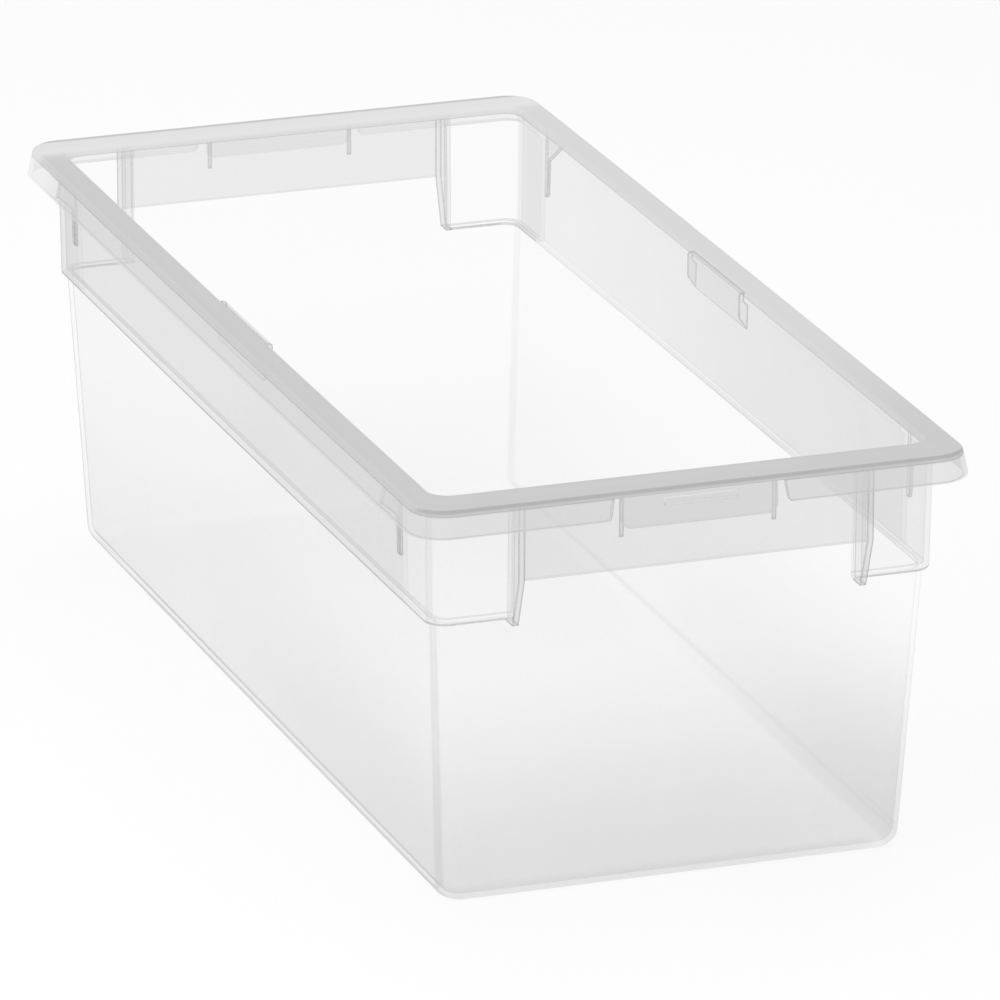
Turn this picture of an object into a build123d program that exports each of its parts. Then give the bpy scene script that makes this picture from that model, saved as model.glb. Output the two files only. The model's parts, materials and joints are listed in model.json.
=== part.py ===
from build123d import *
import os

# Stackable shelf bin: one open-topped translucent polypropylene moulding, modelled
# as its functional zones, plus a flexing snap tab at each end.
#
# Frame: origin on the resting plane under the centre of the bin, X across the width
# (left is -X), Y along the length (front is -Y), Z up.  Lengths in millimetres.
# An inset is measured inwards from the outermost rim outline (width x length).
# A profile is (side inset, end inset, corner radius) at one level.

os.makedirs("parts", exist_ok=True)

SIDES = (("left", -1), ("right", 1))
ENDS = (("front", -1), ("rear", 1))

# Overall
width = 180.0            # across the rim, at the corners
length = 400.0           # along the rim
height = 133.0           # to the top of the rim
side_bow = 0.6           # outward bow of each long side at mid length
base_bow = 0.2           # the same bow at the base
half_w = width / 2
half_l = length / 2

# Levels shared by several pieces
flange_t = 2.0
z_flange = height - flange_t     # underside of the rim flange
z_skirt = 124.0                  # lower edge of the rim skirt
z_shoulder = 92.2                # step where the wider rim band starts
z_grip = 107.6                   # lower edge of the grip panels
z_bead_low = 128.0               # where the rim's inner bead starts to stand inwards
z_bead = 129.4                   # where the bead reaches its full depth

# Lower tub
tub_top = (10.5, 14.2, 6.5)
tub_base = (14.88, 18.9, 9.0)
tub_wall = 1.5
floor_t = 1.8
base_round = 6.0                 # outer radius between wall and floor
base_round_in = 4.5

# Rim band
ledge_t = 1.6                    # thickness of the shoulder's step
shoulder_round = 0.5
band_low = (8.9, 12.8, 6.5)
band_top = (8.3, 12.2, 6.5)
band_in_low = (10.5, 14.4, 5.0)
band_in_high = (9.9, 13.8, 5.2)  # inner face, just below the bead
bead_in = (11.3, 15.6, 6.0)      # inner edge of the bead and of the flange

# Outer edge of the skirt and flange
edge_low = (0.0, 0.0, 12.0)      # at the skirt's lower edge
edge_mid = (1.63, 0.78, 11.0)    # at the flange's underside
edge_top = (2.1, 1.0, 10.6)      # at the top of the rim
rim_round = 1.8
skirt_t = 1.5
skirt_round = 0.5                # outer lower edge
slit_top_half = 27.2             # half width between the skirt's ends, at the flange
slit_low_half = 28.4             # the same at the skirt's lower edge
slit_round = 2.0

# End walls between the fins
end_wall_top_inset = 12.9        # outer face at the flange
end_wall_in_inset = 14.5         # inner face just below the bead

# End fins and grip panels
fin_x = 55.8                     # centre of each fin
fin_t = 2.0
z_fin = 91.6                     # lower tip of the fins
fin_tip_inset = 8.4              # outer edge of the fins at their lower tip
fin_tip_round = 1.5
fin_root_inset = 13.2            # inner edge of the fins, above the shoulder
fin_root_low_inset = 15.0        # inner edge of the fins, below the shoulder
panel_half = fin_x - fin_t / 2   # half width between the fins
grip_inset = 2.9                 # outer face of the grip panel and of the fins
grip_t = 1.5
grip_round = 0.6

# Snap tabs
tab_half = 25.0                  # half width
tab_t = 1.5
z_tab = 121.1                    # lower edge
tab_root_inset = 0.8             # outer face at the root
tab_tip_inset = 0.05             # outer face at the lower edge
tab_gap = 0.06                   # running clearance over the rounded root
tab_corner_round = 3.0
tab_edge_round = 0.4

# Back-stop ribs behind the tab's two edges
stop_x = 24.4
stop_t = 1.3
stop_proud = 0.52                # they end just behind the tab's inward limit
z_stop = 118.0                   # lower end, at the grip panel
z_stop_outer = 118.4             # lower end, at the rib's outer edge

# Catch bars on the snap tabs
catch_len = 23.5
catch_back_inset = 1.3           # inside the tab
catch_top_inset = 0.55           # top of the slope
catch_inset = -0.35              # outer face, beyond the rim outline
z_catch_top = 129.7
z_catch_slope = 128.6            # lower end of the slope
z_catch = 127.5                  # underside

# Gusset ribs on the rim band, one near each corner
gusset_y = 162.5
gusset_t = 1.8
z_gusset = z_grip                # lower end, level with the grip panels
gusset_band_inset = 8.6          # nearly the band's outer face at this place
gusset_sink = 1.0                # overlap into the band before trimming
gusset_proud = 1.4               # height of the rib on the band, below the skirt
gusset_draft = 0.3               # what it gains on the way up to its flare
gusset_flare_drop = 4.0          # start of the flare, below the skirt's edge
gusset_lap = 0.6                 # end of the flare, above the skirt's edge
gusset_flare_inset = 1.9         # outer end of the flare
gusset_edge_inset = 0.8          # outer edge before trimming
gusset_round = 0.8
gusset_gap = 0.02                # side clearance to the skirt's inner face

# Side stops
side_stop_half = 23.0            # half length
side_stop_y = -5.0               # centre along the bin
side_stop_in = 1.8               # how far they stand in from the rim's inner edge
side_stop_sink = 2.0             # overlap into the rim before trimming
side_stop_foot = 0.9             # lower tip, outwards of the rim's inner edge
side_stop_slope = 4.0            # height of the sloped underside
side_stop_drop = 0.7             # top of the pads, below the top of the rim
side_stop_round = 1.0
z_side_stop = 120.0              # lower edge

# Cutting shapes that reach beyond the bin
side_crop = 60.0                 # width of the box that keeps one side band
corner_margin = 5.0
skirt_margin = 10.0
trim_frame = (-20, -20, 4)       # profile well outside the rim


def outline(side, end, radius, bow=side_bow):
    """Rounded outline of the bin at one level, its long sides bowed outwards."""
    x = half_w - side
    y = half_l - end
    with BuildSketch() as profile:
        with BuildLine():
            Line((-x, -y), (x, -y))
            ThreePointArc((x, -y), (x + bow, 0), (x, y))
            Line((x, y), (-x, y))
            ThreePointArc((-x, y), (-x - bow, 0), (-x, -y))
        make_face()
        fillet(profile.vertices(), radius)
    return profile.sketch


def inset(profile, thickness):
    """Profile moved inwards by a wall thickness."""
    side, end, radius = profile
    return side + thickness, end + thickness, radius - thickness


def at_end(sy, *points):
    """(end inset, z) pairs as (y, z) points at the end on side sy."""
    return [(sy * (half_l - end_inset), z) for end_inset, z in points]


def mirrored(sx, *points):
    """(x, second coordinate) pairs with x on side sx."""
    return [(sx * x, other) for x, other in points]


def near(value, target):
    return abs(value - target) < 0.01


def finish(builder, name):
    """Names a finished piece, writes its own file and returns the piece."""
    builder.part.label = name
    export_step(builder.part, "parts/" + name + ".step")
    return builder.part


def make_tub():
    """Floor and the four drafted walls up to the shoulder."""
    # the cavity starts from the wall's outer insets at the top of the floor
    rise = floor_t / z_shoulder
    side, end = (low + (top - low) * rise for low, top in zip(tub_base[:2], tub_top[:2]))
    cavity_radius = tub_base[2] - tub_wall
    with BuildPart() as cavity:
        with BuildSketch(Plane.XY.offset(floor_t)):
            add(outline(side + tub_wall, end + tub_wall, cavity_radius, base_bow))
        with BuildSketch(Plane.XY.offset(z_shoulder)):
            add(outline(*inset(tub_top, tub_wall)))
        loft(ruled=True)
        fillet(cavity.edges().group_by(Axis.Z)[0], base_round_in)

    with BuildPart() as tub:
        with BuildSketch(Plane.XY):
            add(outline(*tub_base, base_bow))
        with BuildSketch(Plane.XY.offset(z_shoulder)):
            add(outline(*tub_top))
        loft(ruled=True)
        fillet(tub.edges().group_by(Axis.Z)[0], base_round)
        add(cavity.part, mode=Mode.SUBTRACT)
    return finish(tub, "tub_lower")


def make_band_ring():
    """Whole wider ring above the shoulder, later divided into bands and corners."""
    inner_levels = (
        (z_shoulder + ledge_t, band_in_low),
        (z_bead_low, band_in_high),
        (z_bead, bead_in),
        (z_flange, bead_in),
    )
    with BuildPart() as hollow:
        for z, profile in inner_levels:
            with BuildSketch(Plane.XY.offset(z)):
                add(outline(*profile))
        loft(ruled=True)

    with BuildPart() as ring:
        for z, profile in ((z_shoulder, band_low), (z_flange, band_top)):
            with BuildSketch(Plane.XY.offset(z)):
                add(outline(*profile))
        loft(ruled=True)
        fillet(ring.edges().group_by(Axis.Z)[0], shoulder_round)
        add(hollow.part, mode=Mode.SUBTRACT)
        # opens the ledge to the tub's inner face
        with BuildSketch(Plane.XY.offset(z_shoulder)):
            add(outline(*inset(tub_top, tub_wall)))
        extrude(amount=ledge_t, mode=Mode.SUBTRACT)
    return ring.part


def make_side_band(band_ring, side_name, sx):
    """Long-side part of the band, between the gusset ribs."""
    with BuildPart() as side_band:
        add(band_ring)
        with BuildSketch(Plane.XY.offset(z_shoulder)):
            with Locations((sx * half_w, 0)):
                Rectangle(side_crop, 2 * gusset_y)
        extrude(amount=height, mode=Mode.INTERSECT)
    finish(side_band, "side_band_" + side_name)


def make_corner_block(band_ring, corner_name, sx, sy):
    """Part of the band round one corner, from its end fin to its gusset rib."""
    with BuildPart() as corner_block:
        add(band_ring)
        with BuildSketch(Plane.XY.offset(z_shoulder)):
            with BuildLine():
                Polyline(
                    (sx * panel_half, sy * (half_l + corner_margin)),
                    (sx * (half_w + corner_margin), sy * (half_l + corner_margin)),
                    (sx * (half_w + corner_margin), sy * gusset_y),
                    (sx * panel_half, sy * gusset_y),
                    close=True,
                )
            make_face()
        extrude(amount=height, mode=Mode.INTERSECT)
    return finish(corner_block, "corner_block_" + corner_name)


def make_end_wall(end_name, sy):
    """End wall between the fins: the tub wall carried straight up to the rim."""
    section = at_end(
        sy,
        (tub_top[1], z_shoulder),
        (end_wall_top_inset, z_flange),
        (bead_in[1], z_flange),
        (bead_in[1], z_bead),
        (end_wall_in_inset, z_bead_low),
        (tub_top[1] + tub_wall, z_shoulder),
    )
    with BuildPart() as end_wall:
        with BuildSketch(Plane.YZ.offset(-panel_half)):
            with BuildLine():
                Polyline(*section, close=True)
            make_face()
        extrude(amount=2 * panel_half)
    finish(end_wall, "end_wall_" + end_name)


def make_rim_flange():
    """Flat top of the rim, both upper edges rounded over."""
    with BuildPart() as rim_flange:
        for z, profile in ((z_flange, edge_mid), (height, edge_top)):
            with BuildSketch(Plane.XY.offset(z)):
                add(outline(*profile))
        loft(ruled=True)
        with BuildSketch(Plane.XY.offset(z_flange)):
            add(outline(*bead_in))
        extrude(amount=flange_t, mode=Mode.SUBTRACT)
        fillet(rim_flange.faces().sort_by(Axis.Z)[-1].edges(), rim_round)
    return finish(rim_flange, "rim_flange")


def make_skirt_ring():
    """Whole skirt hanging from the flange's edge, before the end openings."""
    levels = ((z_skirt, edge_low), (z_flange, edge_mid))
    with BuildPart() as hollow:
        for z, profile in levels:
            with BuildSketch(Plane.XY.offset(z)):
                add(outline(*inset(profile, skirt_t)))
        loft(ruled=True)

    with BuildPart() as ring:
        for z, profile in levels:
            with BuildSketch(Plane.XY.offset(z)):
                add(outline(*profile))
        loft(ruled=True)
        fillet(ring.edges().group_by(Axis.Z)[0], skirt_round)
        add(hollow.part, mode=Mode.SUBTRACT)
    return ring.part


def make_rim_skirt(skirt_ring, side_name, sx):
    """One half of the skirt, its ends following the slits beside the snap tabs."""
    kept_area = mirrored(
        sx,
        (slit_top_half, z_flange),
        (slit_low_half, z_skirt),
        (half_w + skirt_margin, z_skirt),
        (half_w + skirt_margin, z_flange),
    )
    with BuildPart() as rim_skirt:
        add(skirt_ring)
        with BuildSketch(Plane.XZ.offset(-half_l - skirt_margin)) as kept:
            with BuildLine():
                Polyline(*kept_area, close=True)
            make_face()
            fillet(
                kept.vertices().filter_by(lambda v: near(abs(v.X), slit_low_half)),
                slit_round,
            )
        extrude(amount=2 * (half_l + skirt_margin), mode=Mode.INTERSECT)
    finish(rim_skirt, "rim_skirt_" + side_name)


def make_end_fin(tub, corner_block, corner_name, sx, sy):
    """Flat web from a corner block out to the grip panel's outer face."""
    section = at_end(
        sy,
        (grip_inset, z_flange),
        (grip_inset, z_grip),
        (fin_tip_inset, z_fin),
        (fin_root_low_inset, z_fin),
        (fin_root_low_inset, z_shoulder),
        (fin_root_inset, z_shoulder),
        (fin_root_inset, z_flange),
    )
    with BuildPart() as end_fin:
        with BuildSketch(Plane.YZ.offset(sx * fin_x - fin_t / 2)) as web:
            with BuildLine():
                Polyline(*section, close=True)
            make_face()
            fillet(
                web.vertices().filter_by(
                    lambda v: near(v.Z, z_fin) and near(abs(v.Y), half_l - fin_tip_inset)
                ),
                fin_tip_round,
            )
        extrude(amount=fin_t)
        add(corner_block, mode=Mode.SUBTRACT)
        add(tub, mode=Mode.SUBTRACT)
    finish(end_fin, "end_fin_" + corner_name)


def make_grip_panel(end_name, sy):
    """Plate between the fins; fingers hook up behind it."""
    section = at_end(
        sy,
        (grip_inset, z_flange),
        (grip_inset, z_grip),
        (grip_inset + grip_t, z_grip),
        (grip_inset + grip_t, z_flange),
    )
    with BuildPart() as grip_panel:
        with BuildSketch(Plane.YZ.offset(-panel_half)) as plate:
            with BuildLine():
                Polyline(*section, close=True)
            make_face()
            fillet(plate.vertices().filter_by(lambda v: near(v.Z, z_grip)), grip_round)
        extrude(amount=2 * panel_half)
    finish(grip_panel, "grip_panel_" + end_name)


def make_tab_stop(corner_name, sx, sy):
    """Back-stop rib on the grip panel, behind one edge of the snap tab."""
    section = at_end(
        sy,
        (grip_inset, z_flange),
        (grip_inset, z_stop),
        (grip_inset - stop_proud, z_stop_outer),
        (grip_inset - stop_proud, z_flange),
    )
    with BuildPart() as tab_stop:
        with BuildSketch(Plane.YZ.offset(sx * stop_x - stop_t / 2)):
            with BuildLine():
                Polyline(*section, close=True)
            make_face()
        extrude(amount=stop_t)
    finish(tab_stop, "tab_stop_rib_" + corner_name)


def make_snap_tab(end_name, sy):
    """Tab that flexes about its rounded root under the flange."""
    root_y = sy * (half_l - tab_root_inset - tab_t / 2)
    root_z = z_flange - tab_gap - tab_t / 2
    tip_y = sy * (half_l - tab_tip_inset - tab_t / 2)
    with BuildPart() as snap_tab:
        with BuildSketch(Plane.YZ.offset(-tab_half)):
            with BuildLine():
                Polyline(
                    (root_y - tab_t / 2, root_z),
                    (tip_y - tab_t / 2, z_tab),
                    (tip_y + tab_t / 2, z_tab),
                    (root_y + tab_t / 2, root_z),
                    close=True,
                )
            make_face()
            with Locations((root_y, root_z)):
                Circle(tab_t / 2)
        extrude(amount=2 * tab_half)
        # lower corners first, then the long lower edges
        for axis, radius in ((Axis.Y, tab_corner_round), (Axis.X, tab_edge_round)):
            fillet(
                snap_tab.edges()
                .filter_by(axis)
                .filter_by(lambda e: e.center().Z < z_tab + 0.1),
                radius,
            )
    return finish(snap_tab, "snap_tab_" + end_name)


def make_catch_bar(snap_tab, end_name, sy):
    """Bar on the tab, sloped on top so a lid clip rides over it, square below."""
    section = at_end(
        sy,
        (catch_back_inset, z_catch_top),
        (catch_top_inset, z_catch_top),
        (catch_inset, z_catch_slope),
        (catch_inset, z_catch),
        (catch_back_inset, z_catch),
    )
    with BuildPart() as catch_bar:
        with BuildSketch(Plane.YZ.offset(-catch_len / 2)):
            with BuildLine():
                Polyline(*section, close=True)
            make_face()
        extrude(amount=catch_len)
        add(snap_tab, mode=Mode.SUBTRACT)
    finish(catch_bar, "catch_bar_" + end_name)


def make_gusset(band_ring, corner_name, sx, sy):
    """Rib on the side of the band, widening outwards under the skirt."""
    band_x = half_w - gusset_band_inset
    proud_x = band_x + gusset_proud
    section = mirrored(
        sx,
        (band_x - gusset_sink, z_flange),
        (band_x - gusset_sink, z_gusset),
        (proud_x, z_gusset),
        (proud_x + gusset_draft, z_skirt - gusset_flare_drop),
        (half_w - gusset_flare_inset, z_skirt + gusset_lap),
        (half_w - gusset_edge_inset, z_skirt + gusset_lap),
        (half_w - gusset_edge_inset, z_flange),
    )
    with BuildPart() as gusset:
        with BuildSketch(Plane.XZ.offset(-sy * gusset_y - gusset_t / 2)) as rib:
            with BuildLine():
                Polyline(*section, close=True)
            make_face()
            fillet(
                rib.vertices().filter_by(lambda v: near(abs(v.X), proud_x)),
                gusset_round,
            )
        extrude(amount=gusset_t)
        add(band_ring, mode=Mode.SUBTRACT)
        # trims the rib to the inside of the skirt
        for z, profile in ((z_skirt, edge_low), (z_flange, edge_mid)):
            side, end, radius = inset(profile, skirt_t)
            with BuildSketch(Plane.XY.offset(z)):
                add(outline(*trim_frame))
                add(outline(side + gusset_gap, end, radius), mode=Mode.SUBTRACT)
        loft(ruled=True, mode=Mode.SUBTRACT)
    finish(gusset, "gusset_" + corner_name)


def make_side_stop(band_ring, rim_flange, side_name, sx):
    """Low pad on the inner face near mid length, just under the top of the rim."""
    edge_x = half_w + side_bow - bead_in[0]     # inner edge of the rim at mid length
    pad_x = edge_x - side_stop_in
    pad_top = height - side_stop_drop
    section = mirrored(
        sx,
        (edge_x + side_stop_sink, pad_top),
        (pad_x, pad_top),
        (pad_x, z_side_stop + side_stop_slope),
        (edge_x + side_stop_foot, z_side_stop),
        (edge_x + side_stop_sink, z_side_stop),
    )
    with BuildPart() as side_stop:
        with BuildSketch(Plane.XZ.offset(-side_stop_y - side_stop_half)) as pad:
            with BuildLine():
                Polyline(*section, close=True)
            make_face()
            fillet(
                pad.vertices().filter_by(lambda v: near(abs(v.X), pad_x)),
                side_stop_round,
            )
        extrude(amount=2 * side_stop_half)
        add(band_ring, mode=Mode.SUBTRACT)
        add(rim_flange, mode=Mode.SUBTRACT)
    finish(side_stop, "side_stop_" + side_name)


tub = make_tub()
band_ring = make_band_ring()
rim_flange = make_rim_flange()
skirt_ring = make_skirt_ring()

for side_name, sx in SIDES:
    make_side_band(band_ring, side_name, sx)
    make_rim_skirt(skirt_ring, side_name, sx)
    make_side_stop(band_ring, rim_flange, side_name, sx)

for end_name, sy in ENDS:
    make_end_wall(end_name, sy)
    make_grip_panel(end_name, sy)
    snap_tab = make_snap_tab(end_name, sy)
    make_catch_bar(snap_tab, end_name, sy)
    for side_name, sx in SIDES:
        corner_name = end_name + "_" + side_name
        corner_block = make_corner_block(band_ring, corner_name, sx, sy)
        make_end_fin(tub, corner_block, corner_name, sx, sy)
        make_tab_stop(corner_name, sx, sy)
        make_gusset(band_ring, corner_name, sx, sy)
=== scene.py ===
"""A bin moulded in thin frosted polypropylene, standing on a pale studio floor.

The bin stands on z = 0 with its front towards -Y, its right-hand side towards +X and +Z up.
The CAD pieces keep their shapes. The script gives them materials, hides the faces inside the
moulding, and adds the floor, lights and camera. Lengths are metres; those times MM are in mm.
"""
import json
import math
from dataclasses import dataclass
from functools import cached_property

import bpy
from mathutils import Matrix, Vector
from mathutils.bvhtree import BVHTree

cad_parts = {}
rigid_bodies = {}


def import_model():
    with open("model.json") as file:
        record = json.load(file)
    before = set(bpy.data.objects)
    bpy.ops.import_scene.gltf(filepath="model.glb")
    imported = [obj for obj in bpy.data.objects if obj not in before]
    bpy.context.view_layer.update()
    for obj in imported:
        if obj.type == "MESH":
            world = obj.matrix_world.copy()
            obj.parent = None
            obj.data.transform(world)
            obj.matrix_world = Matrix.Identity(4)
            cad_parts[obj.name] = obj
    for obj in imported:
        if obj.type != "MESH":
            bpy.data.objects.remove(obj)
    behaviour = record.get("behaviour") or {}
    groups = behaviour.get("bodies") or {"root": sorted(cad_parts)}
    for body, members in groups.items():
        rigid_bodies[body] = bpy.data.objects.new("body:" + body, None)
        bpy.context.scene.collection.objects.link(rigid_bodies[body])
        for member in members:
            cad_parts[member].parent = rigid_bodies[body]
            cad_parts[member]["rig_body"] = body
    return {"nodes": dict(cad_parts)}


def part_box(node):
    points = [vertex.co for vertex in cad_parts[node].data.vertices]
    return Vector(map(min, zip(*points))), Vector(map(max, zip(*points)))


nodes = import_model()["nodes"]
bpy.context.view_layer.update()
scene = bpy.context.scene

MM = 0.001

# The studio: even white surroundings and two square softboxes (side in m, power in W)
WHITE = (1.0, 1.0, 1.0, 1.0)
SURROUND = 0.79
SOFTBOX_AIM = Vector((0.0, 0.0, 0.05))
SOFTBOXES = {
    "key_softbox": dict(place=Vector((-1.6, -1.2, 2.2)), side=1.8, power=14.0),
    "top_softbox": dict(place=Vector((0.2, 0.5, 2.6)), side=2.2, power=12.0),
}
PAPER_LIGHT = 0.95  # what the pale floor sends back up near the bin
INSIDE = 0.80  # how much of the light behind a surface is left beside other plastic

# The step in the moulding: heights of its ring in mm, and how dark the ring is
STEP_BOTTOM, STEP_TOP = 92.2, 93.1
STEP_DARK = 0.9

# Common to all the plastic
GLOSS = 0.35  # share of the Fresnel reflection that shows
ROUGHNESS = 0.26
GRAIN = 0.16  # bump strength
TRANSLUCENT = 0.4  # share of the scattered light that comes from behind

# Faces where two pieces touch
JOINT_GAP = 0.09 * MM  # pieces this close count as touching
JOINT_OPPOSED = -0.95  # the normals' dot product must be below this
JOINT_REACH = 0.9  # how far from a face's centre to its corners it is tested


def grey(value, blue=0.0):
    """RGBA grey, with a little extra blue if asked."""
    return (value, value, value + blue, 1.0)


# ---------------------------------------------------------------------------
# building node trees
# ---------------------------------------------------------------------------
class Tree:
    """A new material and short ways to add nodes to it."""

    def __init__(self, name):
        self.material = bpy.data.materials.new(name)
        self.material.use_nodes = True
        self.tree = self.material.node_tree
        self.tree.nodes.clear()

    def put(self, socket, value):
        """Link value to the socket if it is a socket itself, or else store it there."""
        if isinstance(value, bpy.types.NodeSocket):
            self.tree.links.new(value, socket)
        else:
            socket.default_value = value

    def node(self, kind, inputs=None, **settings):
        node = self.tree.nodes.new(kind)
        for key, value in settings.items():
            setattr(node, key, value)
        for key, value in (inputs or {}).items():
            self.put(node.inputs[key], value)
        return node

    def math(self, operation, a, b=0.0, c=None):
        inputs = {0: a, 1: b}
        if c is not None:
            inputs[2] = c
        return self.node("ShaderNodeMath", inputs, operation=operation).outputs[0]

    def product(self, first, *others):
        for other in others:
            first = self.math("MULTIPLY", first, other)
        return first

    def dot(self, a, b):
        inputs = {0: a, 1: b}
        node = self.node("ShaderNodeVectorMath", inputs, operation="DOT_PRODUCT")
        return node.outputs["Value"]

    def split(self, vector):
        return self.node("ShaderNodeSeparateXYZ", {0: vector}).outputs

    def ramp(self, value, start, end, to=(0.0, 1.0), smooth=True):
        """Carry value from start..end to the range to, held constant outside it."""
        inputs = {
            "Value": value, "From Min": start, "From Max": end, "To Min": to[0], "To Max": to[1],
        }
        curve = "SMOOTHSTEP" if smooth else "LINEAR"
        node = self.node("ShaderNodeMapRange", inputs, interpolation_type=curve, clamp=True)
        return node.outputs["Result"]

    def noise(self, vector, scale, detail, rough, distortion=0.0):
        inputs = {
            "Vector": vector, "Scale": scale, "Detail": detail,
            "Roughness": rough, "Distortion": distortion,
        }
        return self.node("ShaderNodeTexNoise", inputs).outputs["Fac"]

    def mix_color(self, factor, a, b):
        return self.node("ShaderNodeMix", {0: factor, 6: a, 7: b}, data_type="RGBA").outputs[2]

    def shader(self, kind, **inputs):
        return self.node(kind, inputs).outputs[0]

    def mix_shader(self, factor, a, b):
        return self.node("ShaderNodeMixShader", {0: factor, 1: a, 2: b}).outputs[0]

    def output(self, surface):
        self.node("ShaderNodeOutputMaterial", {"Surface": surface})


# ---------------------------------------------------------------------------
# frosted polypropylene
# ---------------------------------------------------------------------------
@dataclass
class Finish:
    """How one zone of the moulding veils what is behind it. Lengths are in mm."""

    body: tuple  # colour
    density: float  # veil seen square on
    graze: float  # veil seen edge on
    graze_power: float  # higher keeps the edge-on veil to flatter angles
    light_density: float  # veil met by light and bounce rays
    level_colour_and_highlight: tuple = None  # colour of level faces; on the bars a near white painted highlight
    level_density: float = None  # veil of level faces
    low: dict = None  # painted shade: veil added from z = top down to bottom, at the rear and at the front
    foot: dict = None  # veil added below z = top, near the bottom
    along: dict = None  # scales the veil from 1 at y = front to factor at y = rear
    corner: float = 0.0  # veil added on the strip where a rounded corner bends the light
    edge: float = 0.5  # veil added at dark places
    edge_body: float = 0.46  # grey of dark places
    edge_radius: float = 0.45
    has_seam: bool = False  # no edge shows at STEP_BOTTOM, where two zones run together
    has_step: bool = False  # the ring of the step is dark
    rounded: float = 0.0  # darkness of rolled-over edges
    far_painted_light: tuple = None  # painted light: paler colour on the far and right-hand sides
    far_line: dict = None  # darkness amount beyond y
    painted_top_highlight: bool = False  # a painted highlight on upper edges, where they catch the light


class Polypropylene(Tree):
    """Thin plastic: a veil over what is behind, more at grazing angles, edges and thick walls;
    its scattered light is a painted glow, and painted shade lies low on the walls.
    """

    def __init__(self, name, finish):
        super().__init__(name)
        self.finish = finish
        self.coords = self.node("ShaderNodeTexCoord").outputs["Object"]
        self.geometry = self.node("ShaderNodeNewGeometry").outputs
        # mould grain, and slow waviness of the cooled melt
        self.pebble = self.noise(self.coords, scale=700, detail=2.0, rough=0.6)
        self.flow = self.noise(self.coords, scale=24, detail=2.0, rough=0.55, distortion=0.6)
        self.normal = self.bumped_normal()
        self.bevel_normal = self.node(
            "ShaderNodeBevel", {"Radius": finish.edge_radius * MM}, samples=4
        ).outputs["Normal"]
        self.edges = self.edge_mask()
        self.fade = None
        if finish.along:
            along = finish.along
            self.fade = self.span("Y", along["front"], along["rear"], to=(1.0, along["factor"]))
        self.highlight_crest = None  # the painted highlight on upper edges, set by dark_mask
        self.dark = self.dark_mask()

        # camera rays see the painted light glow; every other ray meets the plain lit surface
        camera_ray = self.node("ShaderNodeLightPath").outputs["Is Camera Ray"]
        self.output(self.mix_shader(camera_ray, self.plain_surface(), self.seen_surface()))
        self.material.cycles.emission_sampling = "NONE"

    @cached_property
    def place(self):
        return self.split(self.coords)

    @cached_property
    def face_normal(self):
        return self.split(self.geometry["Normal"])

    @cached_property
    def level(self):
        """1 on level faces, 0 on upright ones."""
        return self.ramp(self.math("ABSOLUTE", self.face_normal["Z"]), start=0.90, end=0.985)

    def span(self, axis, start, end, to=(0.0, 1.0)):
        """A ramp along one axis of the bin, between places in mm."""
        return self.ramp(self.place[axis], start * MM, end * MM, to)

    def outward(self, axis):
        """Positive where a face turns away from the bin's middle."""
        return self.product(self.face_normal[axis], self.place[axis])

    def front_side(self):
        return self.math("SUBTRACT", 1.0, self.geometry["Backfacing"])

    def bumped_normal(self):
        flow_weight = 9.0  # height of the waviness against the grain
        inputs = {
            "Strength": GRAIN,
            "Distance": 0.035 * MM,
            "Height": self.math("MULTIPLY_ADD", self.flow, flow_weight, self.pebble),
        }
        return self.node("ShaderNodeBump", inputs).outputs["Normal"]

    def edge_mask(self):
        """How far a small rounding would turn the normal."""
        turn = self.dot(self.bevel_normal, self.geometry["Normal"])
        edges = self.ramp(turn, start=0.99, end=0.80)
        if self.finish.has_seam:
            above = self.math("SUBTRACT", self.place["Z"], STEP_BOTTOM * MM)
            off_seam = self.math("ABSOLUTE", above)
            edges = self.product(edges, self.ramp(off_seam, start=0.6 * MM, end=1.2 * MM))
        return edges

    def step_ring(self):
        ring = self.product(
            self.span("Z", STEP_BOTTOM - 0.05, STEP_BOTTOM + 0.05),
            self.span("Z", STEP_TOP + 0.1, STEP_TOP - 0.2),
            self.front_side(),
        )
        # faces turned inwards show less of it, least towards the front
        inward_share = self.span("Y", -75, -55, to=(0.10, 0.55))
        outward = self.outward("X")
        shown = self.ramp(outward, start=-20 * MM, end=0.0, to=(inward_share, 1.0))
        return self.product(ring, shown, STEP_DARK)

    def rolled_edge(self):
        tilt = self.math("ABSOLUTE", self.face_normal["Z"])
        return self.product(
            self.ramp(tilt, start=0.97, end=0.86),
            self.ramp(tilt, start=0.20, end=0.55),
            self.ramp(self.outward("Y"), start=20 * MM, end=100 * MM),
            self.finish.rounded,
        )

    def dark_mask(self):
        """Edges and the other places that look dark."""
        finish = self.finish
        dark = self.edges
        if finish.has_step:
            dark = self.math("MAXIMUM", dark, self.step_ring())
        if finish.rounded:
            dark = self.math("MAXIMUM", dark, self.rolled_edge())
        if finish.far_line:
            y = finish.far_line["y"]
            outer = self.span("Y", y - 1.0, y + 1.0, to=(0.0, finish.far_line["amount"]))
            dark = self.math("MAXIMUM", dark, outer)
        if finish.painted_top_highlight:
            # painted highlight: upper edges pale instead of dark
            upward = self.split(self.bevel_normal)["Z"]
            crest_turn = dict(start=0.10, end=0.35)
            self.highlight_crest = self.product(self.edges, self.ramp(upward, **crest_turn))
            dark = self.product(dark, self.ramp(upward, **crest_turn, to=(1.0, 0.0)))
        if self.fade:
            dark = self.product(dark, self.math("MINIMUM", self.fade, 1.0))
        return dark

    def painted_low_shade(self):
        """Painted shade: the walls are veiled more downwards, more at the front and a little less
        to the right.
        """
        low = self.finish.low
        down = self.span("Z", low["top"], low["bottom"])
        near = self.product(
            self.span("Y", 90, -190, to=(low["rear"], low["front"])),
            self.span("X", 0, 80, to=(1.0, 0.80)),
        )
        return self.product(down, near)

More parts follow.
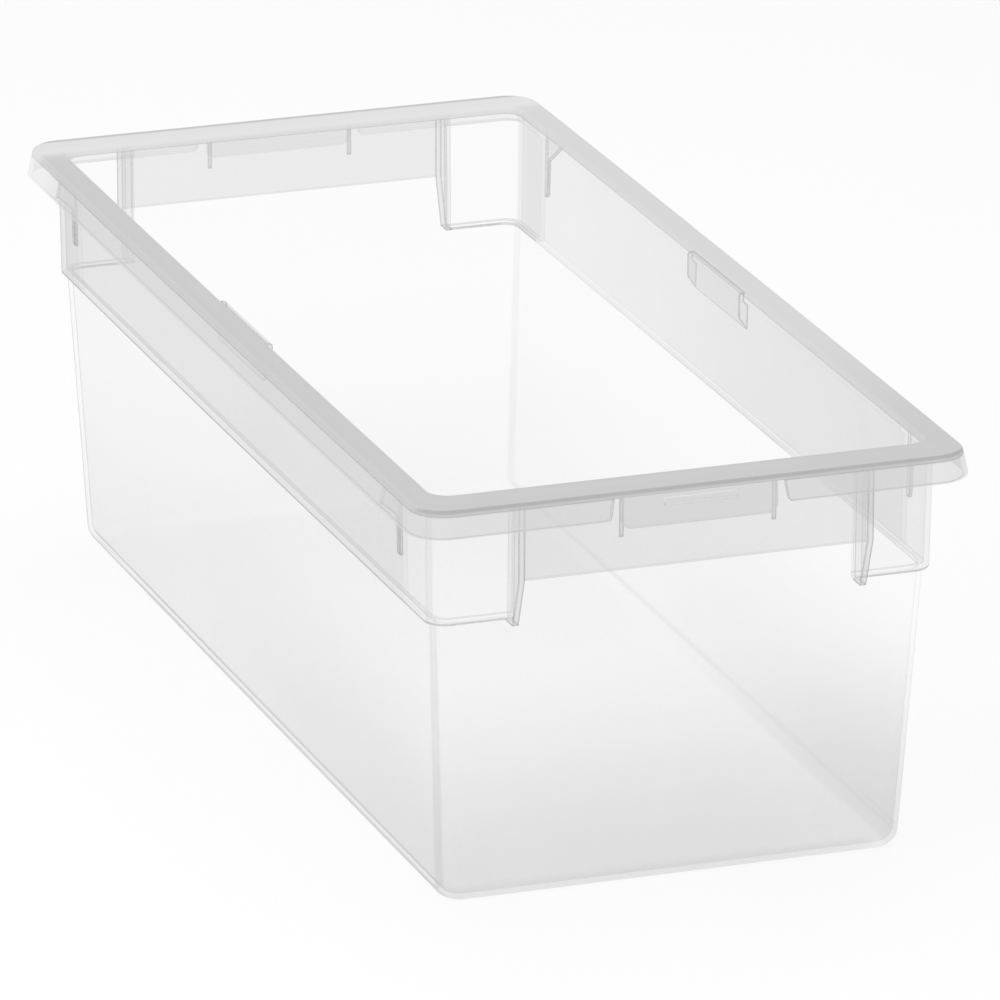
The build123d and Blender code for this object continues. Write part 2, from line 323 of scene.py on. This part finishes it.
    def foot_veil(self):
        """Veil added near the bottom, except towards the right-hand side and the rear."""
        foot = self.finish.foot
        return self.product(
            self.span("Z", foot["top"], foot["top"] * 0.3, to=(0.0, foot["extra"])),
            self.span("X", 60, 68, to=(1.0, 0.0)),
            self.span("Y", 100, 150, to=(1.0, 0.0)),
        )

    def corner_strip(self):
        """Faces turned a little away from X, fainter on the right."""
        across = self.math("ABSOLUTE", self.face_normal["X"])
        return self.product(
            self.ramp(across, start=0.988, end=0.955),
            self.ramp(across, start=0.84, end=0.92),
            self.span("X", -10, 10, to=(1.0, 0.3)),
        )

    def unevenness(self):
        """Waviness, fine rub marks and grain, as a factor near 1."""
        stretched = self.node(
            "ShaderNodeMapping",
            {"Vector": self.coords, "Scale": (60, 60, 1500)},
            vector_type="POINT",
        ).outputs["Vector"]
        rubs = self.noise(stretched, scale=1.0, detail=2.0, rough=0.65, distortion=0.2)
        return self.product(
            self.ramp(self.flow, start=0.3, end=0.7, to=(0.93, 1.07), smooth=False),
            self.ramp(rubs, start=0.58, end=0.80, to=(1.0, 1.08)),
            self.ramp(self.pebble, start=0.3, end=0.7, to=(0.985, 1.015), smooth=False),
        )

    def veil(self):
        """How much of what lies behind is covered."""
        finish = self.finish
        facing = self.node("ShaderNodeLayerWeight", {"Blend": 0.5}).outputs["Facing"]
        grazing = self.math("POWER", facing, finish.graze_power)
        density_range = (finish.density, finish.graze)
        veil = self.ramp(grazing, start=0.0, end=1.0, to=density_range, smooth=False)
        # painted shade: the walls darker downwards and towards the front
        if finish.low:
            veil = self.math("ADD", self.painted_low_shade(), veil)
        if finish.foot:
            veil = self.math("ADD", self.foot_veil(), veil)
        if finish.corner:
            veil = self.math("MULTIPLY_ADD", self.corner_strip(), finish.corner, veil)
        if finish.level_density is not None:
            veil = self.product(veil, self.math("SUBTRACT", 1.0, self.level))
            veil = self.math("MULTIPLY_ADD", self.level, finish.level_density, veil)
        if self.fade:
            veil = self.product(veil, self.fade)
        veil = self.product(veil, self.unevenness())

        worn = self.ramp(self.pebble, start=0.35, end=0.60, to=(0.75, 1.0))
        veil = self.math("MULTIPLY_ADD", self.product(self.dark, worn), finish.edge, veil)
        most_veil = 0.96
        veil = self.math("MINIMUM", veil, most_veil)
        # painted highlight: upper edges covered by the pale colour
        if self.highlight_crest:
            highlight_veil = 0.9
            veil = self.math("MAXIMUM", veil, self.product(self.highlight_crest, highlight_veil))
        return veil

    def shade(self):
        """Colour: slightly uneven, darker at edges, with a few pale rub marks on them; paler on
        the far and right-hand sides as painted light, and near white on upper edges as a painted
        highlight where asked.
        """
        finish = self.finish
        red, green, blue, _ = finish.body
        shade = self.mix_color(
            self.ramp(self.flow, start=0.35, end=0.65),
            (red * 0.985, green * 0.985, blue * 0.985, 1.0),
            (red * 1.01, green * 1.005, blue, 1.0),
        )
        # level faces have their own colour; on the bars it is a near white painted highlight
        if finish.level_colour_and_highlight:
            shade = self.mix_color(self.level, shade, finish.level_colour_and_highlight)
        # painted light: the rim is paler towards the right-hand side and at the far end
        if finish.far_painted_light:
            aside = self.product(
                self.span("X", 60, 80, to=(0.0, 0.50)), self.span("Y", -185, -60)
            )
            far_light_share = self.math("MAXIMUM", aside, self.span("Y", 178, 186))
            shade = self.mix_color(far_light_share, shade, finish.far_painted_light)
        edge_body = finish.edge_body
        shade = self.mix_color(self.dark, shade, (edge_body, edge_body, edge_body * 1.01, 1.0))
        rubbed = self.ramp(self.pebble, start=0.60, end=0.75, to=(0.0, 0.35))
        pale = self.product(self.edges, rubbed)
        shade = self.mix_color(pale, shade, (0.93, 0.93, 0.925, 1.0))
        # painted highlight: upper edges near white
        if self.highlight_crest:
            shade = self.mix_color(self.highlight_crest, shade, grey(0.98))
        return shade

    def gathered(self, normal_z, way):
        """Light reaching the side seen (way = 1) or the side behind (way = -1)."""
        mean, swing = (SURROUND + PAPER_LIGHT) / 2, (SURROUND - PAPER_LIGHT) / 2
        total = self.math("MULTIPLY_ADD", self.product(normal_z, way), swing, mean)
        for box in SOFTBOXES.values():
            line = box["place"] - SOFTBOX_AIM
            lit = self.math("MAXIMUM", self.dot(self.normal, line.normalized() * way), 0.0)
            strength = box["power"] / (math.pi * math.pi * line.length_squared)
            total = self.math("MULTIPLY_ADD", lit, strength, total)
        return total

    def painted_light_glow(self):
        """Painted light: the scattered light as an emission glow, its strength worked out from
        the studio's own lights rather than by chance sampling, because many thin layers lie
        behind one another."""
        normal_z = self.split(self.normal)["Z"]
        light = self.product(self.gathered(normal_z, 1.0), 1.0 - TRANSLUCENT)
        behind = self.gathered(normal_z, -1.0)
        light = self.math("MULTIPLY_ADD", behind, TRANSLUCENT * INSIDE, light)
        return self.shader("ShaderNodeEmission", Color=self.shade(), Strength=light)

    def seen_surface(self):
        """What the camera sees: the veil and a soft shine."""
        clear = self.shader("ShaderNodeBsdfTransparent")
        wall = self.mix_shader(self.veil(), clear, self.painted_light_glow())
        rough_range = (ROUGHNESS - 0.05, ROUGHNESS + 0.06)
        rough = self.ramp(self.pebble, start=0.3, end=0.7, to=rough_range, smooth=False)
        shine = self.shader(
            "ShaderNodeBsdfGlossy", Color=WHITE, Roughness=rough, Normal=self.normal
        )
        fresnel = self.shader("ShaderNodeFresnel", IOR=1.49)
        amount = self.product(fresnel, GLOSS, self.front_side())
        most_shine = 0.4
        return self.mix_shader(self.math("MINIMUM", amount, most_shine), wall, shine)

    def plain_surface(self):
        """What every other ray meets."""
        body = self.finish.body
        diffuse = self.shader("ShaderNodeBsdfDiffuse", Color=body)
        through = self.shader("ShaderNodeBsdfTranslucent", Color=body)
        scatter = self.mix_shader(TRANSLUCENT, diffuse, through)
        clear = self.shader("ShaderNodeBsdfTransparent")
        return self.mix_shader(self.finish.light_density, clear, scatter)


def see_through(name):
    """For faces inside the plastic, where there is no surface."""
    tree = Tree(name)
    tree.output(tree.shader("ShaderNodeBsdfTransparent"))
    return tree.material


# ---------------------------------------------------------------------------
# finishes: one polypropylene, veiled more where the moulding is thicker, with painted light and
# shade in some zones
# ---------------------------------------------------------------------------
BAND = dict(
    body=grey(0.62), graze=0.50, graze_power=2.4, level_density=0.20, has_step=True,
    light_density=0.06,
)
BLOCK = dict(
    body=grey(0.66), graze_power=2.8, level_density=0.20, has_step=True, edge=0.68,
    corner=0.28, light_density=0.05,
)
# the skirt, tabs and bars under the rim are veiled less at the rear
UNDER_RIM = dict(
    graze_power=2.0, along=dict(front=150, rear=185, factor=0.45), light_density=0.20,
)
FINISHES = {
    "pp_wall": Finish(
        body=grey(0.64), density=0.010, graze=0.55, graze_power=9.0, level_density=0.045,
        # painted shade: the wall darker towards the bottom and the front
        low=dict(top=80, bottom=0, rear=0.03, front=0.285), foot=dict(top=7, extra=0.16),
        along=dict(front=-100, rear=180, factor=1.6), corner=0.30, has_seam=True,
        light_density=0.03,
    ),
    "pp_band_left": Finish(**BAND, density=0.058, edge=0.68, corner=0.20),
    "pp_band_right": Finish(
        **BAND, density=0.185, edge=0.62, corner=0.10,
        along=dict(front=-190, rear=150, factor=0.50),
    ),
    "pp_block": Finish(
        **BLOCK, density=0.010, graze=0.34, along=dict(front=-150, rear=150, factor=2.6),
    ),
    "pp_block_right": Finish(**BLOCK, density=0.065, graze=0.42),
    "pp_panel": Finish(
        body=grey(0.66), density=0.215, graze=0.45, graze_power=2.6,
        along=dict(front=-100, rear=100, factor=0.85), light_density=0.10,
    ),
    "pp_web": Finish(
        body=grey(0.62), density=0.15, graze=0.34, graze_power=2.0,
        edge=0.80, edge_body=0.38, edge_radius=1.4, light_density=0.18,
    ),
    "pp_rim": Finish(
        body=grey(0.67, blue=0.005), density=0.60, graze=0.75, graze_power=2.0,
        # painted light: paler rim on the right-hand side and at the far end
        level_colour_and_highlight=grey(0.618, blue=0.005), level_density=0.93, far_painted_light=grey(0.81),
        edge=0.35, edge_body=0.42, rounded=0.80, far_line=dict(y=195.5, amount=0.60),
        light_density=0.28,
    ),
    "pp_skirt": Finish(
        **UNDER_RIM, body=grey(0.74, blue=0.005), density=0.32, graze=0.48,
        edge=0.85, edge_body=0.40, edge_radius=0.8,
    ),
    "pp_tab": Finish(
        **UNDER_RIM, body=grey(0.72, blue=0.005), density=0.36, graze=0.50,
        edge=0.90, edge_body=0.38, edge_radius=0.9,
    ),
    "pp_bar": Finish(
        **UNDER_RIM, body=grey(0.72, blue=0.005), density=0.33, graze=0.50,
        # painted highlight: the bars' level top faces and upper edges are near white
        level_colour_and_highlight=grey(0.98), level_density=0.95,
        edge=0.80, edge_body=0.34, edge_radius=0.5, painted_top_highlight=True,
    ),
}
FINISH_OF = {
    "tub_lower": "pp_wall",
    "side_band_left": "pp_band_left",
    "side_band_right": "pp_band_right",
    "end_wall_front": "pp_wall",
    "end_wall_rear": "pp_wall",
    "grip_panel_front": "pp_panel",
    "grip_panel_rear": "pp_panel",
    "rim_flange": "pp_rim",
    "rim_skirt_left": "pp_skirt",
    "rim_skirt_right": "pp_skirt",
    "snap_tab_front": "pp_tab",
    "snap_tab_rear": "pp_tab",
    "catch_bar_front": "pp_bar",
    "catch_bar_rear": "pp_bar",
    "corner_block_front_right": "pp_block_right",
}


def finish_name(piece_name):
    """The other corner blocks share one finish, and all remaining pieces are webs."""
    fallback = "pp_block" if piece_name.startswith("corner_block") else "pp_web"
    return FINISH_OF.get(piece_name, fallback)


def dress_pieces():
    """Slot 0 of each piece is its finish, slot 1 the hidden joints."""
    plastics = {name: Polypropylene(name, finish).material for name, finish in FINISHES.items()}
    joined = see_through("pp_inside_joint")
    for name, piece in nodes.items():
        slots = piece.data.materials
        slots.clear()
        slots.append(plastics[finish_name(name)])
        slots.append(joined)


# ---------------------------------------------------------------------------
# faces where two zones meet are inside the plastic, so they show nothing
# ---------------------------------------------------------------------------
def surface_tree(mesh):
    corners = [vertex.co for vertex in mesh.vertices]
    return BVHTree.FromPolygons(corners, [tuple(face.vertices) for face in mesh.polygons])


def boxes_touch(first, second):
    return all(
        second[0][i] - JOINT_GAP <= first[1][i] and second[1][i] + JOINT_GAP >= first[0][i]
        for i in range(3)
    )


def is_covered(point, normal, neighbours):
    """Whether a neighbour's surface lies at the point and faces the other way."""
    for tree, box in neighbours:
        if not boxes_touch((point, point), box):
            continue
        spot, facing, _, _ = tree.find_nearest(point, JOINT_GAP)
        if spot is not None and facing.dot(normal) < JOINT_OPPOSED:
            return True
    return False


def is_joint(face, mesh, neighbours):
    centre = face.center.copy()
    points = [centre]
    points += [centre.lerp(mesh.vertices[i].co, JOINT_REACH) for i in face.vertices]
    return all(is_covered(point, face.normal, neighbours) for point in points)


def hide_joints():
    trees = {name: surface_tree(piece.data) for name, piece in nodes.items()}
    boxes = {name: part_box(name) for name in nodes}
    for name, piece in nodes.items():
        neighbours = [
            (trees[other], boxes[other])
            for other in nodes
            if other != name
            and nodes[other]["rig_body"] == piece["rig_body"]
            and boxes_touch(boxes[name], boxes[other])
        ]
        if not neighbours:
            continue
        mesh = piece.data
        slots = [int(is_joint(face, mesh, neighbours)) for face in mesh.polygons]
        mesh.polygons.foreach_set("material_index", slots)
        mesh.update()


# ---------------------------------------------------------------------------
# floor, light and camera
# ---------------------------------------------------------------------------
def add_object(name, data):
    thing = bpy.data.objects.new(name, data)
    scene.collection.objects.link(thing)
    return thing


def add_floor():
    reach, z = 6.0, -0.0004  # half its width, and just below the bin
    corners = [(-reach, -reach, z), (reach, -reach, z), (reach, reach, z), (-reach, reach, z)]
    mesh = bpy.data.meshes.new("stage_floor")
    mesh.from_pydata(corners, [], [(0, 1, 2, 3)])
    floor = add_object("stage_floor", mesh)
    paper = Tree("stage_paper")
    paper.output(paper.shader("ShaderNodeBsdfDiffuse", Color=grey(0.97)))
    mesh.materials.append(paper.material)


def add_world():
    world = bpy.data.worlds.new("studio")
    world.use_nodes = True
    background = world.node_tree.nodes["Background"]
    background.inputs["Color"].default_value = WHITE
    background.inputs["Strength"].default_value = SURROUND
    scene.world = world


def add_softbox(name, place, side, power):
    data = bpy.data.lights.new(name, "AREA")
    data.shape = "RECTANGLE"
    data.size = data.size_y = side
    data.energy = power
    data.color = (1.0, 1.0, 1.0)
    lamp = add_object(name, data)
    lamp.location = place
    lamp.rotation_mode = "QUATERNION"
    lamp.rotation_quaternion = (SOFTBOX_AIM - place).to_track_quat("-Z", "Y")


def add_camera():
    """A long lens in front of the bin, to the left and above."""
    azimuth, elevation, roll = math.radians(-19.744), math.radians(18.969), math.radians(0.2)
    target = Vector((0.01201, 0.0, 0.06126))
    distance = 3.3482

    back = Vector((
        math.sin(azimuth) * math.cos(elevation),
        -math.cos(azimuth) * math.cos(elevation),
        math.sin(elevation),
    ))
    right = (-back).cross(Vector((0, 0, 1))).normalized()
    up = right.cross(-back)
    rolled_right = right * math.cos(roll) + up * math.sin(roll)
    rolled_up = up * math.cos(roll) - right * math.sin(roll)

    data = bpy.data.cameras.new("camera")
    data.sensor_width = 36.0
    data.lens = 378.9
    data.shift_x = -0.0128
    data.shift_y = 0.0010
    data.clip_start = 0.05
    data.clip_end = 40.0
    camera = add_object("camera", data)
    camera.rotation_mode = "QUATERNION"
    axes = Matrix((rolled_right, rolled_up, back)).transposed()
    camera.rotation_quaternion = axes.to_quaternion()
    camera.location = target + back * distance
    scene.camera = camera


def set_render():
    scene.view_settings.view_transform = "Standard"
    scene.view_settings.look = "None"
    cycles = scene.cycles
    # enough transparent bounces to pass through every thin layer
    cycles.transparent_max_bounces = 96
    cycles.min_transparent_bounces = 96
    cycles.max_bounces = 6
    cycles.diffuse_bounces = 3
    cycles.use_adaptive_sampling = False
    cycles.sampling_pattern = "TABULATED_SOBOL"
    cycles.use_denoising = True
    cycles.denoising_input_passes = "RGB"


dress_pieces()
hide_joints()
add_floor()
add_world()
for name, box in SOFTBOXES.items():
    add_softbox(name, **box)
add_camera()
set_render()
